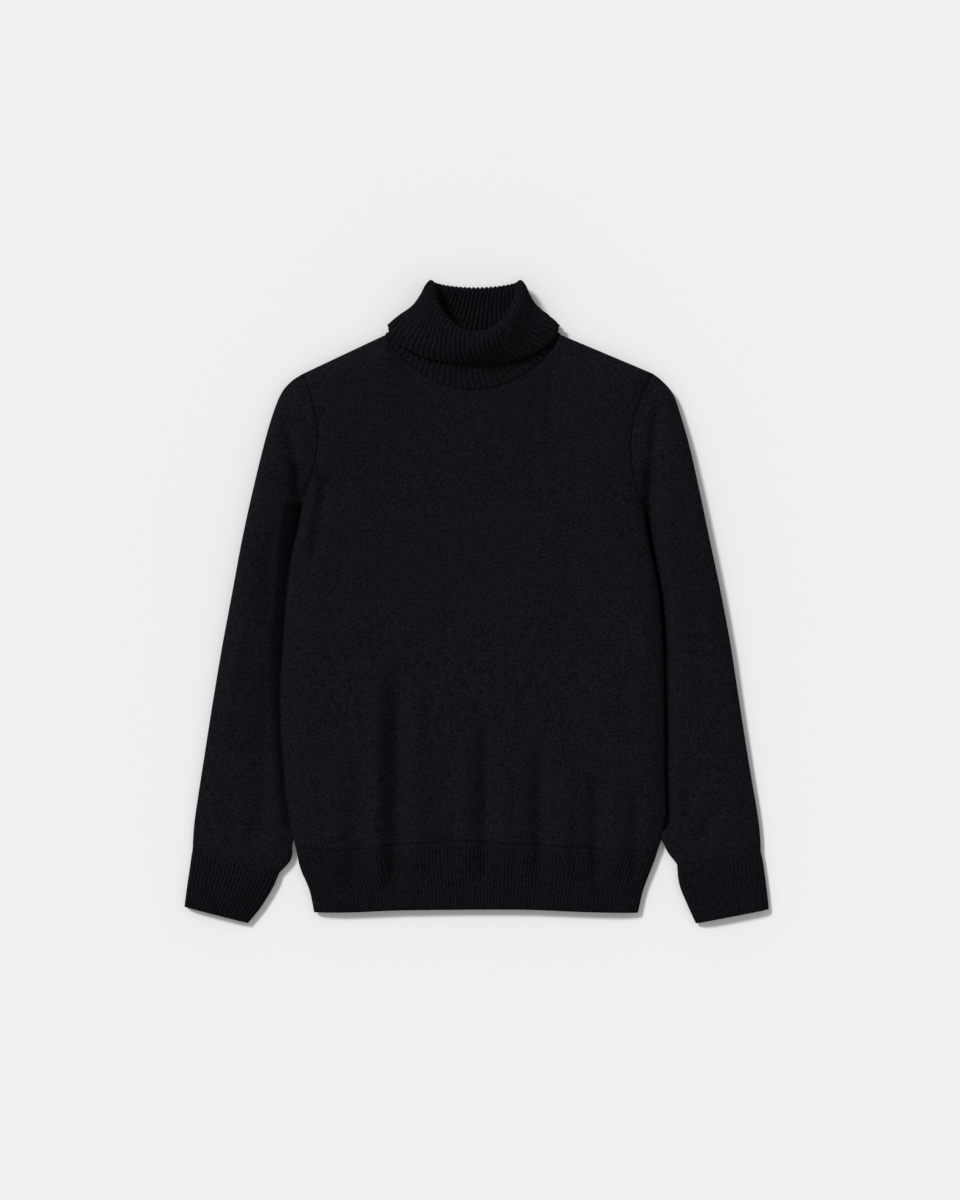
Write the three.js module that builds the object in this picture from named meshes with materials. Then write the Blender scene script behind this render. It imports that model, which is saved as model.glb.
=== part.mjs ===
// A fine-gauge turtleneck sweater laid flat on its back, in millimetres.
// X runs across the body, Y from hem to neck, Z up from the surface that it lies on.
// Every piece is a thin wall with its own edges: front, back, two sleeves, a folded
// collar, and the ribs of hem and cuffs. The neck, the hem and the cuffs are open.
import * as THREE from 'three';

// Driving dimensions
const SEAM_GAP = 0.3; // between the pieces at a seam
const CORNER_LIFT = 1.3; // where three pieces meet, front and back part by this much each
const CORNER_INSET = 1.2; // and draw back this far from the third
const KNIT_WALL = 1.9; // thickness of the plain knit
const RIB_WALL = 2.2; // thickness of the ribs
const SIDE_SEAM_HEIGHT = 6.5; // middle of the wall at the side seams
const FRONT_ROLL = 28; // the front curves over within this far of its sides and shoulders
const BACK_ROLL = 12; // the back turns up within this far of its edges
const ARMHOLE_STEPS = 8; // from underarm to shoulder, on front and on back
const NECK_STEPS = 12; // from shoulder to shoulder, on front and on back
const SIDE_STEPS = 9; // from hem rib to underarm
const RIB_STEPS = 3; // from hem to the top of its rib
const ROLL_STEPS = 4; // columns in the rolled edge of a panel

// The body's two side edges, hem to underarm
const BODY_EDGES = [
  { y: -364, left: -189, right: 188 },
  { y: -336, left: -195, right: 194.5 },
  { y: -312, left: -205, right: 203.5 },
  { y: -290, left: -210.5, right: 212 },
  { y: -252, left: -219, right: 221 },
  { y: -203, left: -224, right: 220.5 },
  { y: -104, left: -229, right: 219.5 },
  { y: -35, left: -225, right: 217.5 },
  { y: 15, left: -221, right: 213 },
  { y: 55, left: -216, right: 205 },
  { y: 94, left: -207, right: 198 },
  { y: 123, left: -203, right: 194 },
];

// Top line of the hem rib and the hem's free edge
const HEM_LINES = [
  { x: -212, top: -287, bottom: -363 },
  { x: -146, top: -290, bottom: -363 },
  { x: -101, top: -285, bottom: -361 },
  { x: -28, top: -280, bottom: -360 },
  { x: 60, top: -284, bottom: -360 },
  { x: 139, top: -289, bottom: -363 },
  { x: 212, top: -292, bottom: -364 },
];

// Height of the middle of the front's wall, where it lies level
const FRONT_HEIGHTS = [
  { y: -364, z: 10.5 },
  { y: -290, z: 14 },
  { y: -200, z: 17 },
  { y: 0, z: 20 },
  { y: 150, z: 21 },
  { y: 314, z: 20 },
];

// Large folds of the front: soft troughs (negative) and ridges, each along a line
const FRONT_FOLDS = [
  { x0: -96, y0: -60, x1: -97, y1: -364, width: 13, rise: -3.6 },
  { x0: 8, y0: -150, x1: 8, y1: -300, width: 10, rise: -1.8 },
  { x0: 72, y0: -190, x1: 74, y1: -300, width: 10, rise: -2 },
  { x0: 139, y0: -214, x1: 139, y1: -300, width: 10, rise: -2 },
  { x0: -192, y0: 140, x1: -208, y1: 60, width: 7, rise: 1.5 },
  { x0: -178, y0: 122, x1: -196, y1: 40, width: 9, rise: -2.5 },
];

// Sections of a sleeve from armhole to cuff: the point on its outer edge, the point on its
// inner edge, the height over the top, the height of both edges, how far the section bows
// towards the body, and how square its ends are
const SLEEVE_SECTIONS = {
  left: [
    { ox: -204, oy: 267, ix: -203, iy: 123, top: 18.5, edge: 8, bow: 17, square: 4 },
    { ox: -217, oy: 258, ix: -207.6, iy: 114, top: 20, edge: 8.5, bow: 15, square: 3.6 },
    { ox: -229, oy: 243, ix: -209.4, iy: 104, top: 21.5, edge: 9, bow: 12, square: 3.2 },
    { ox: -240, oy: 214, ix: -211.8, iy: 94, top: 22.5, edge: 9, bow: 8, square: 3 },
    { ox: -250, oy: 178, ix: -215, iy: 82, top: 23.5, edge: 9, bow: 4, square: 2.8 },
    { ox: -262, oy: 128, ix: -218.5, iy: 64, top: 24, edge: 9.5, bow: 2, square: 2.6 },
    { ox: -274, oy: 73, ix: -222, iy: 38, top: 23.5, edge: 9.5, bow: 0, square: 2.6 },
    { ox: -285, oy: 14, ix: -225.5, iy: -6, top: 22, edge: 9, bow: 0, square: 2.6 },
    { ox: -297, oy: -50, ix: -229.5, iy: -60, top: 20, edge: 8.5, bow: 0, square: 2.6 },
    { ox: -308, oy: -115, ix: -231.8, iy: -116, top: 18, edge: 8, bow: 0, square: 2.6 },
    { ox: -319, oy: -185, ix: -229, iy: -182, top: 16, edge: 7.5, bow: 0, square: 2.8 },
    { ox: -329, oy: -250, ix: -222.5, iy: -256, top: 14, edge: 6.5, bow: 0, square: 3 },
    { ox: -331.5, oy: -276, ix: -217, iy: -296, top: 12.5, edge: 6, bow: 1, square: 3.4 },
    { ox: -332, oy: -288, ix: -232, iy: -317, top: 11.5, edge: 5.5, bow: 3, square: 4 },
  ],
  right: [
    { ox: 205.5, oy: 268, ix: 194.5, iy: 113, top: 18.5, edge: 8, bow: 20, square: 4 },
    { ox: 217, oy: 259, ix: 199.5, iy: 106, top: 20, edge: 8.5, bow: 16, square: 3.6 },
    { ox: 230, oy: 243, ix: 202, iy: 98, top: 21.5, edge: 9, bow: 12, square: 3.2 },
    { ox: 240, oy: 214, ix: 204.5, iy: 88, top: 22.5, edge: 9, bow: 8, square: 3 },
    { ox: 250, oy: 178, ix: 207.5, iy: 74, top: 23.5, edge: 9, bow: 4, square: 2.8 },
    { ox: 261, oy: 128, ix: 211.5, iy: 54, top: 24, edge: 9.5, bow: 2, square: 2.6 },
    { ox: 272.5, oy: 73, ix: 216.5, iy: 26, top: 23.5, edge: 9.5, bow: 0, square: 2.6 },
    { ox: 285, oy: 14, ix: 220, iy: -14, top: 22, edge: 9, bow: 0, square: 2.6 },
    { ox: 297, oy: -50, ix: 222, iy: -62, top: 20, edge: 8.5, bow: 0, square: 2.6 },
    { ox: 307, oy: -115, ix: 222.7, iy: -116, top: 18, edge: 8, bow: 0, square: 2.6 },
    { ox: 318, oy: -185, ix: 223.6, iy: -182, top: 16, edge: 7.5, bow: 0, square: 2.8 },
    { ox: 329, oy: -250, ix: 225, iy: -250, top: 14, edge: 6.5, bow: 0, square: 3 },
    { ox: 332, oy: -277, ix: 221.5, iy: -284, top: 12.5, edge: 6, bow: 1, square: 3.4 },
    { ox: 332.5, oy: -291, ix: 236, iy: -307, top: 11.5, edge: 5.5, bow: -3, square: 4 },
  ],
};

// Sections of each cuff's rib below its first one, which follows the sleeve's last
const CUFF_SECTIONS = {
  left: [
    { ox: -335, oy: -311, ix: -241, iy: -336, top: 11, edge: 5.4, bow: 1, square: 4.4 },
    { ox: -338.5, oy: -334, ix: -254, iy: -357, top: 10.5, edge: 5.2, bow: 0, square: 5 },
    { ox: -341.5, oy: -357, ix: -269, iy: -375.5, top: 10, edge: 5, bow: 0, square: 5 },
  ],
  right: [
    { ox: 336, oy: -314, ix: 239, iy: -330, top: 11, edge: 5.4, bow: -1, square: 4.4 },
    { ox: 339, oy: -337, ix: 248, iy: -353, top: 10.5, edge: 5.2, bow: 0, square: 5 },
    { ox: 341.5, oy: -360, ix: 258.5, iy: -376, top: 10, edge: 5, bow: 0, square: 5 },
  ],
};

// Rings of the collar: up the stand from the neckline, over the fold and down the flap.
// Each has its middle and half width, then y and z at its sides, front and back, how
// pointed its front is, and how slowly it rises from its sides (less is quicker)
const COLLAR_RINGS = [
  { mid: -4, half: 102, ys: 313, yf: 249, yb: 296, zs: 10, zf: 19.5, zb: 1.3, point: 1.6, slow: 0.8 },
  { mid: -3.6, half: 90.5, ys: 322, yf: 262, yb: 309, zs: 10.5, zf: 21, zb: 3, point: 1.5, slow: 0.8 },
  { mid: -3, half: 78.5, ys: 332, yf: 276, yb: 323, zs: 11.5, zf: 23, zb: 4.6, point: 1.38, slow: 0.7 },
  { mid: -2.4, half: 65, ys: 343, yf: 290, yb: 337, zs: 13, zf: 28, zb: 5.1, point: 1.22, slow: 0.7 },
  { mid: -1.6, half: 55, ys: 355, yf: 302, yb: 352, zs: 15.5, zf: 35, zb: 5.6, point: 1.18, slow: 0.65 },
  { mid: -1, half: 48, ys: 368, yf: 312, yb: 365, zs: 18, zf: 42, zb: 6, point: 1.15, slow: 0.6 },
  { mid: -1, half: 52, ys: 375.5, yf: 312.5, yb: 368.5, zs: 18.5, zf: 46.5, zb: 3.7, point: 1.1, slow: 0.5 },
  { mid: -1.2, half: 57.5, ys: 370, yf: 306, yb: 365, zs: 17, zf: 49.5, zb: 1.3, point: 1.1, slow: 0.5 },
  { mid: -1.6, half: 63, ys: 359, yf: 297, yb: 356, zs: 15, zf: 48, zb: 1.3, point: 1.08, slow: 0.5 },
  { mid: -2.2, half: 72.5, ys: 346, yf: 288.5, yb: 346, zs: 13, zf: 42, zb: 1.3, point: 1.06, slow: 0.5 },
  { mid: -3, half: 87.5, ys: 335, yf: 282, yb: 335, zs: 11, zf: 34.5, zb: 1.3, point: 1.05, slow: 0.5 },
  { mid: -3.5, half: 100, ys: 324.5, yf: 278, yb: 325, zs: 9.5, zf: 27.5, zb: 1.3, point: 1.05, slow: 0.5 },
];

const ACROSS = new THREE.Vector3(1, 0, 0);
const ALONG = new THREE.Vector3(0, 1, 0);
const UP = new THREE.Vector3(0, 0, 1);

// A smooth curve through one column of a table, as a function of its key column
function smooth(table, key, column, at) {
  const last = table.length - 1;
  let row = 0;
  while (row < last - 1 && at > table[row + 1][key]) {
    row += 1;
  }
  const slope = (index) => {
    const before = table[Math.max(index - 1, 0)];
    const after = table[Math.min(index + 1, last)];
    return (after[column] - before[column]) / (after[key] - before[key]);
  };
  const start = table[row];
  const end = table[row + 1];
  const span = end[key] - start[key];
  const t = THREE.MathUtils.clamp((at - start[key]) / span, 0, 1);
  const t2 = t * t;
  const t3 = t2 * t;
  return (2 * t3 - 3 * t2 + 1) * start[column]
    + (t3 - 2 * t2 + t) * span * slope(row)
    + (3 * t2 - 2 * t3) * end[column]
    + (t3 - t2) * span * slope(row + 1);
}

// Rise of the front's large folds at a place in plan
function foldRise(x, y) {
  let rise = 0;
  for (const fold of FRONT_FOLDS) {
    const dx = fold.x1 - fold.x0;
    const dy = fold.y1 - fold.y0;
    const along = ((x - fold.x0) * dx + (y - fold.y0) * dy) / (dx * dx + dy * dy);
    const t = THREE.MathUtils.clamp(along, 0, 1);
    const away = Math.hypot(x - fold.x0 - t * dx, y - fold.y0 - t * dy) / fold.width;
    rise += fold.rise * Math.exp(-away * away);
  }
  return rise;
}

// Height of the front's wall at a place in plan, before its edges roll down
function frontLevel(point) {
  return smooth(FRONT_HEIGHTS, 'y', 'z', point.y) + foldRise(point.x, point.y);
}

// Closed section of a sleeve or cuff: outer edge, over the top, inner edge, back underneath
function tubeSection(row, wall) {
  const points = [];
  const side = Math.sign(row.ox);
  for (let step = 0; step < 2 * ARMHOLE_STEPS; step += 1) {
    const angle = (step * Math.PI) / ARMHOLE_STEPS;
    const across = (1 - Math.cos(angle)) / 2;
    const fullness = Math.sqrt(1 - Math.abs(Math.cos(angle)) ** row.square);
    const x = THREE.MathUtils.lerp(row.ox, row.ix, across) - side * row.bow * 4 * across * (1 - across);
    const y = THREE.MathUtils.lerp(row.oy, row.iy, across);
    const far = step <= ARMHOLE_STEPS ? row.top : wall / 2;
    points.push(new THREE.Vector3(x, y, row.edge + (far - row.edge) * fullness));
  }
  return points;
}

// Closed ring of the collar: left side, across the front, right side, back behind
function collarRing(row) {
  const points = [];
  for (let step = 0; step < 2 * NECK_STEPS; step += 1) {
    const angle = (step * Math.PI) / NECK_STEPS;
    const inFront = step <= NECK_STEPS;
    const reach = Math.abs(Math.sin(angle));
    const depth = reach ** (inFront ? row.point : 1.4);
    const x = row.mid - row.half * Math.cos(angle);
    const y = row.ys + ((inFront ? row.yf : row.yb) - row.ys) * depth;
    const z = row.zs + ((inFront ? row.zf : row.zb) - row.zs) * reach ** row.slow;
    points.push(new THREE.Vector3(x, y, z));
  }
  return points;
}

// Unit vectors in plan, square to a closed ring and turned towards a point. At its two
// sides, where the front turns into the back, each is the mean of its neighbours
function squareInPlan(ring, target) {
  const count = ring.length;
  const squares = ring.map((point, index) => {
    const next = ring[(index + 1) % count];
    const before = ring[(index + count - 1) % count];
    const out = new THREE.Vector3(before.y - next.y, next.x - before.x, 0).normalize();
    return out.dot(target.clone().sub(point)) < 0 ? out.negate() : out;
  });
  for (const side of [0, count / 2]) {
    squares[side].addVectors(squares[(side + 1) % count], squares[(side + count - 1) % count]).normalize();
  }
  return squares;
}

// A wall on both sides of a grid of points. Where crossings gives a direction for a point on
// an edge, the wall's rim there is square to it, so that the rims of two pieces face each other
function wallMesh(name, grid, wall, closed, crossings, material) {
  const rows = grid.length;
  const columns = grid[0].length;
  const pick = (i, j) => {
    const column = closed ? (j + columns) % columns : THREE.MathUtils.clamp(j, 0, columns - 1);
    return grid[THREE.MathUtils.clamp(i, 0, rows - 1)][column];
  };
  const positions = [[], []];
  for (let i = 0; i < rows; i += 1) {
    for (let j = 0; j < columns; j += 1) {
      const acrossGrid = pick(i, j + 1).clone().sub(pick(i, j - 1));
      const alongGrid = pick(i + 1, j).clone().sub(pick(i - 1, j));
      const normal = acrossGrid.clone().cross(alongGrid).normalize();
      const crossing = crossings(i, j);
      if (crossing) {
        const alongEdge = !closed && (j === 0 || j === columns - 1) ? alongGrid : acrossGrid;
        const square = alongEdge.clone().cross(crossing).normalize();
        normal.copy(square.dot(normal) < 0 ? square.negate() : square);
      }
      positions[0].push(pick(i, j).clone().addScaledVector(normal, wall / 2));
      positions[1].push(pick(i, j).clone().addScaledVector(normal, -wall / 2));
    }
  }
  const index = [];
  const offset = rows * columns;
  const quad = (a, b, c, d) => index.push(a, b, c, a, c, d);
  const at = (i, j) => i * columns + (j % columns);
  for (let i = 0; i < rows - 1; i += 1) {
    for (let j = 0; j < (closed ? columns : columns - 1); j += 1) {
      quad(at(i, j), at(i, j + 1), at(i + 1, j + 1), at(i + 1, j));
      quad(offset + at(i, j), offset + at(i + 1, j), offset + at(i + 1, j + 1), offset + at(i, j + 1));
    }
  }
  const top = rows - 1;
  for (let j = 0; j < (closed ? columns : columns - 1); j += 1) {
    quad(at(0, j + 1), at(0, j), offset + at(0, j), offset + at(0, j + 1));
    quad(at(top, j), at(top, j + 1), offset + at(top, j + 1), offset + at(top, j));
  }
  if (!closed) {
    const right = columns - 1;
    for (let i = 0; i < top; i += 1) {
      quad(at(i, 0), at(i + 1, 0), offset + at(i + 1, 0), offset + at(i, 0));
      quad(at(i + 1, right), at(i, right), offset + at(i, right), offset + at(i + 1, right));
    }
  }
  const geometry = new THREE.BufferGeometry().setFromPoints(positions.flat());
  geometry.setIndex(index);
  geometry.computeVertexNormals();
  const mesh = new THREE.Mesh(geometry, material);
  mesh.name = name;
  return mesh;
}

// Grid between four edges, each a row of points: bottom and top run left to right, and left
// and right run from the bottom up
function patch(bottom, top, left, right, shareAcross, shareUp) {
  return left.map((leftPoint, i) => bottom.map((bottomPoint, j) => {
    const a = shareAcross[j];
    const b = shareUp[i];
    const point = new THREE.Vector3();
    point.addScaledVector(bottomPoint, 1 - b).addScaledVector(top[j], b);
    point.addScaledVector(leftPoint, 1 - a).addScaledVector(right[i], a);
    point.addScaledVector(bottom[0], -(1 - a) * (1 - b));
    point.addScaledVector(bottom[bottom.length - 1], -a * (1 - b));
    point.addScaledVector(top[0], -(1 - a) * b);
    point.addScaledVector(top[top.length - 1], -a * b);
    return point;
  }));
}

// Turn of a rolled edge, 0 at the edge to 1 where the panel is level
const turnAt = (away, roll) => Math.sqrt(1 - (1 - Math.min(away / roll, 1)) ** 2);

const sleeveRings = {};
for (const side of ['left', 'right']) {
  sleeveRings[side] = SLEEVE_SECTIONS[side].map((row) => tubeSection(row, KNIT_WALL));
}
const collarRings = COLLAR_RINGS.map(collarRing);
const neckline = collarRings[0];
const neckCentre = new THREE.Vector3(COLLAR_RINGS[0].mid, COLLAR_RINGS[0].ys, 0);
const neckCrossings = squareInPlan(neckline, neckCentre);

// Shares of the body's width at which a panel's columns stand: close together in the rolled
// edges, then wider, and in even turns round the neckline
function columnShares(roll) {
  const width = 416;
  const neckShare = 0.242;
  const shares = [];
  for (let step = 0; step <= ROLL_STEPS; step += 1) {
    shares.push((roll * (1 - Math.cos((step * Math.PI) / 2 / ROLL_STEPS))) / width);
  }
  const rolled = shares[ROLL_STEPS];
  shares.push(rolled + (neckShare - rolled) * 0.4);
  shares.push(rolled + (neckShare - rolled) * 0.7);
  const leftShares = [...shares];
  for (let step = 0; step <= NECK_STEPS; step += 1) {
    shares.push(0.5 - (0.5 - neckShare) * Math.cos((step * Math.PI) / NECK_STEPS));
  }
  return shares.concat(leftShares.reverse().map((share) => 1 - share));
}

// One body panel between the hem rib and the shoulders, the front or the back
function bodyPanel(isFront, material) {
  const roll = isFront ? FRONT_ROLL : BACK_ROLL;
  const lift = isFront ? SEAM_GAP / 2 : -SEAM_GAP / 2;
  const shares = columnShares(roll);
  const columns = shares.length;
  const neckStart = ROLL_STEPS + 3;
  const neckEnd = neckStart + NECK_STEPS;
  const neckShare = shares[neckStart];

  const armhole = {};
  const edge = {};
  for (const side of ['left', 'right']) {
    const ring = sleeveRings[side][0];
    const inwards = side === 'left' ? 1 : -1;
    armhole[side] = [];
    for (let step = ARMHOLE_STEPS; step >= 0; step -= 1) {
      const point = ring[isFront ? step : (2 * ARMHOLE_STEPS - step) % (2 * ARMHOLE_STEPS)].clone();
      const atCorner = step === 0 || step === ARMHOLE_STEPS;
      point.x += inwards * (SEAM_GAP / 2 + (atCorner ? CORNER_INSET : 0));
      point.z += atCorner ? Math.sign(lift) * CORNER_LIFT : 0;
      armhole[side].push(point);
    }
    edge[side] = [];
    const hemY = smooth(HEM_LINES, 'x', 'top', side === 'left' ? -212 : 212) + SEAM_GAP / 2;
    const underarm = armhole[side][0];
    for (let step = 0; step < SIDE_STEPS; step += 1) {
      const y = THREE.MathUtils.lerp(hemY, underarm.y, step / SIDE_STEPS);
      const x = smooth(BODY_EDGES, 'y', side, y);
      edge[side].push(new THREE.Vector3(x, y, SIDE_SEAM_HEIGHT + lift));
    }
    edge[side].push(...armhole[side]);
  }

  const bottom = shares.map((share) => {
    const x = THREE.MathUtils.lerp(edge.left[0].x, edge.right[0].x, share);
    return new THREE.Vector3(x, smooth(HEM_LINES, 'x', 'top', x) + SEAM_GAP / 2, 0);
  });
  bottom[0] = edge.left[0];
  bottom[columns - 1] = edge.right[0];

  const top = [];
  const shoulder = { left: armhole.left.at(-1), right: armhole.right.at(-1) };
  const neckPoint = (step) => {
    const index = isFront ? step : (2 * NECK_STEPS - step) % (2 * NECK_STEPS);
    const atCorner = step === 0 || step === NECK_STEPS;
    const apart = SEAM_GAP / 2 + (atCorner ? CORNER_INSET : 0);
    const point = neckline[index].clone().addScaledVector(neckCrossings[index], -apart);
    point.z += atCorner ? Math.sign(lift) * CORNER_LIFT : 0;
    return point;
  };
  for (let j = 0; j < columns; j += 1) {
    if (j < neckStart) {
      top.push(shoulder.left.clone().lerp(neckPoint(0), shares[j] / neckShare));
    } else if (j <= neckEnd) {
      top.push(neckPoint(j - neckStart));
    } else {
      top.push(shoulder.right.clone().lerp(neckPoint(NECK_STEPS), (1 - shares[j]) / neckShare));
    }
  }

  const rows = edge.left.length;
  const length = shoulder.left.y - edge.left[0].y;
  const shareUp = edge.left.map((point) => (point.y - edge.left[0].y) / length);
  const grid = patch(bottom, top, edge.left, edge.right, shares, shareUp);
  const panelWidth = edge.right[0].x - edge.left[0].x;
  grid.forEach((row, i) => row.forEach((point, j) => {
    const level = isFront ? frontLevel(point) : KNIT_WALL / 2;
    const sideTurn = (share) => turnAt(share * panelWidth, roll) ** (i > SIDE_STEPS ? 2 : 1);
    const inNeck = j >= neckStart && j <= neckEnd;
    const topTurn = turnAt((1 - shareUp[i]) * length, roll) ** (inNeck ? 2 : 1);
    const drops = [
      (level - edge.left[i].z) * (1 - sideTurn(shares[j])),
      (level - edge.right[i].z) * (1 - sideTurn(1 - shares[j])),
      (level - top[j].z) * (1 - topTurn),
    ];
    const drop = Math.hypot(...drops.map((value) => Math.abs(value) ** 3)) ** (1 / 3);
    point.z = level - Math.sign(level - edge.left[i].z) * drop;
    if (j === 0 || j === columns - 1) {
      point.copy(j === 0 ? edge.left[i] : edge.right[i]);
    } else if (i === rows - 1) {
      point.copy(top[j]);
    }
  }));
  const crossings = (i, j) => {
    if (j === 0 || j === columns - 1) {
      return i >= SIDE_STEPS ? ACROSS : UP;
    }
    if (i === rows - 1) {
      const step = j - neckStart;
      if (step < 0 || step > NECK_STEPS) {
        return UP;
      }
      return neckCrossings[isFront ? step : (2 * NECK_STEPS - step) % (2 * NECK_STEPS)];
    }
    return i === 0 ? ALONG : null;
  };
  return { grid, mesh: wallMesh(isFront ? 'front' : 'back', grid, KNIT_WALL, false, crossings, material) };
}

// The hem's rib below one body panel, its top edge on the panel's bottom edge
function hemRib(isFront, panelGrid, material) {
  const roll = isFront ? FRONT_ROLL : BACK_ROLL;
  const lift = isFront ? SEAM_GAP / 2 : -SEAM_GAP / 2;
  const shares = columnShares(roll);
  const top = panelGrid[0].map((point, j, all) => {
    const atCorner = j === 0 || j === all.length - 1;
    return point.clone().setY(point.y - SEAM_GAP - (atCorner ? CORNER_INSET : 0));
  });
  const edge = {};
  for (const side of ['left', 'right']) {
    const corner = side === 'left' ? top[0] : top.at(-1);
    const hemY = smooth(HEM_LINES, 'x', 'bottom', side === 'left' ? -189 : 189);
    edge[side] = [];
    for (let step = 0; step <= RIB_STEPS; step += 1) {
      const y = THREE.MathUtils.lerp(hemY, corner.y, step / RIB_STEPS);
      edge[side].push(new THREE.Vector3(smooth(BODY_EDGES, 'y', side, y), y, SIDE_SEAM_HEIGHT + lift));
    }
    edge[side][RIB_STEPS] = corner;
  }
  const bottom = shares.map((share) => {
    const x = THREE.MathUtils.lerp(edge.left[0].x, edge.right[0].x, share);
    return new THREE.Vector3(x, smooth(HEM_LINES, 'x', 'bottom', x), 0);
  });
  const shareUp = edge.left.map((point, i) => i / RIB_STEPS);
  const grid = patch(bottom, top, edge.left, edge.right, shares, shareUp);
  const ribWidth = edge.right[0].x - edge.left[0].x;
  grid.forEach((row, i) => row.forEach((point, j) => {
    if (i === RIB_STEPS) {
      point.copy(top[j]);
      return;
    }
    const level = isFront ? frontLevel(point) : RIB_WALL / 2;
    const near = Math.min(shares[j], 1 - shares[j]) * ribWidth;
    point.z = level - (level - edge.left[i].z) * (1 - turnAt(near, roll));
  }));
  if (!isFront) {
    grid[RIB_STEPS].forEach((point) => {
      point.z = Math.max(point.z, RIB_WALL / 2);
    });
  }
  const last = shares.length - 1;
  const crossings = (i, j) => {
    if (j === 0 || j === last) {
      return UP;
    }
    return i === 0 || i === RIB_STEPS ? ALONG : null;
  };
  const name = isFront ? 'hem_rib_front' : 'hem_rib_back';
  return wallMesh(name, grid, RIB_WALL, false, crossings, material);
}

// A sleeve and its cuff: two tubes end to end, a seam's gap apart
function sleeveAndCuff(side, knit, rib) {
  const intoSleeve = side === 'left' ? -SEAM_GAP / 2 : SEAM_GAP / 2;
  const rings = sleeveRings[side].map((ring) => ring.map((point) => point.clone()));
  rings[0].forEach((point) => point.setX(point.x + intoSleeve));
  const seamRow = SLEEVE_SECTIONS[side].at(-1);
  const chord = new THREE.Vector3(seamRow.ix - seamRow.ox, seamRow.iy - seamRow.oy, 0).normalize();
  const square = new THREE.Vector3(chord.y, -chord.x, 0);
  if (square.y > 0) {
    square.negate();
  }
  const last = rings.length - 1;
  rings[last].forEach((point) => point.addScaledVector(square, -SEAM_GAP / 2));
  const sleeveCrossings = (i) => {
    if (i === 0) {
      return ACROSS;
    }
    return i === last ? square : null;
  };
  const cuffRows = [seamRow, ...CUFF_SECTIONS[side]];
  const cuffRings = cuffRows.map((row) => tubeSection(row, RIB_WALL));
  cuffRings[0].forEach((point) => point.addScaledVector(square, SEAM_GAP / 2));
  const cuffCrossings = (i) => (i === 0 || i === cuffRings.length - 1 ? square : null);
  return [
    wallMesh(`sleeve_${side}`, ordered(rings, side), KNIT_WALL, true, sleeveCrossings, knit),
    wallMesh(`cuff_${side}`, ordered(cuffRings, side), RIB_WALL, true, cuffCrossings, rib),
  ];
}

// Rings turned so that both sleeves' walls are wound the same way
function ordered(rings, side) {
  return side === 'left' ? rings.map((ring) => [...ring].reverse()) : rings;
}

const knit = new THREE.MeshStandardMaterial({ color: 0x141317, roughness: 0.95, metalness: 0 });
const rib = new THREE.MeshStandardMaterial({ color: 0x111114, roughness: 0.95, metalness: 0 });
const group = new THREE.Group();

const front = bodyPanel(true, knit);
const back = bodyPanel(false, knit);
group.add(front.mesh, back.mesh);
group.add(hemRib(true, front.grid, rib), hemRib(false, back.grid, rib));
group.add(...sleeveAndCuff('left', knit, rib), ...sleeveAndCuff('right', knit, rib));

const collarGrid = collarRings.map((ring, i) => ring.map((point, j) => {
  const moved = point.clone();
  return i === 0 ? moved.addScaledVector(neckCrossings[j], SEAM_GAP / 2) : moved;
}));
const collarCrossings = (i, j) => (i === 0 && j % NECK_STEPS !== 0 ? neckCrossings[j] : null);
group.add(wallMesh('collar', collarGrid, RIB_WALL, true, collarCrossings, rib));

// The origin is under the middle of the sweater, on the surface
const box = new THREE.Box3().setFromObject(group);
const middle = box.getCenter(new THREE.Vector3());
group.position.set(-middle.x, -middle.y, -box.min.z);

export default group;
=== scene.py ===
import math

import bpy
import numpy as np
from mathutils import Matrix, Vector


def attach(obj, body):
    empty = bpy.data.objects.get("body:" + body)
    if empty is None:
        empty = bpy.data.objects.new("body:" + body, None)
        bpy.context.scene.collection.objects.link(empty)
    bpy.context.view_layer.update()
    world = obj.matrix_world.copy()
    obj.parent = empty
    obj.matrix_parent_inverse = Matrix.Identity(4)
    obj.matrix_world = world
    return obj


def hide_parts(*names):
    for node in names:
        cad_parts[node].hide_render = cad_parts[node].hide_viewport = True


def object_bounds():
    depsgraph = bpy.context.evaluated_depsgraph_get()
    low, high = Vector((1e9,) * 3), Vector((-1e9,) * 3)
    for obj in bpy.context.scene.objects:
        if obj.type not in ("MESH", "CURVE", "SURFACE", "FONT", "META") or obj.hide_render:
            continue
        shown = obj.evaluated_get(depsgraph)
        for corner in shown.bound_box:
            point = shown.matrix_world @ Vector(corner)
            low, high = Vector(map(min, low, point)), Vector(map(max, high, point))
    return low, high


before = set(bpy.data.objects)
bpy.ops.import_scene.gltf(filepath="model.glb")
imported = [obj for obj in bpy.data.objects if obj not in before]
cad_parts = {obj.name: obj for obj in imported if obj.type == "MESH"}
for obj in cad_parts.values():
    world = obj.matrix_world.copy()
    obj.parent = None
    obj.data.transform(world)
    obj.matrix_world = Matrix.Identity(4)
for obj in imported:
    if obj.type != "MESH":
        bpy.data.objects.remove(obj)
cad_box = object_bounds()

MM = 0.001

# ---------------------------------------------------------------------------
# Room: a plain pale table top seen from straight above. A soft window light comes
# from the upper left, and an even fill from all round.

low, high = (np.array(corner) for corner in cad_box)
centre = (low + high) / 2
scene = bpy.context.scene
scene.view_settings.view_transform = "Standard"
scene.view_settings.look = "None"

VIEW_HEIGHT = 1410 * MM  # what the view takes in from top to bottom
camera_data = bpy.data.cameras.new("camera")
camera_data.lens = 85
camera = bpy.data.objects.new("camera", camera_data)
SENSOR_WIDTH = 36
camera_height = VIEW_HEIGHT * camera_data.lens / SENSOR_WIDTH
camera.location = (centre[0] + 4.1 * MM, centre[1] + 2.9 * MM, camera_height)
scene.collection.objects.link(camera)
scene.camera = camera

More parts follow.
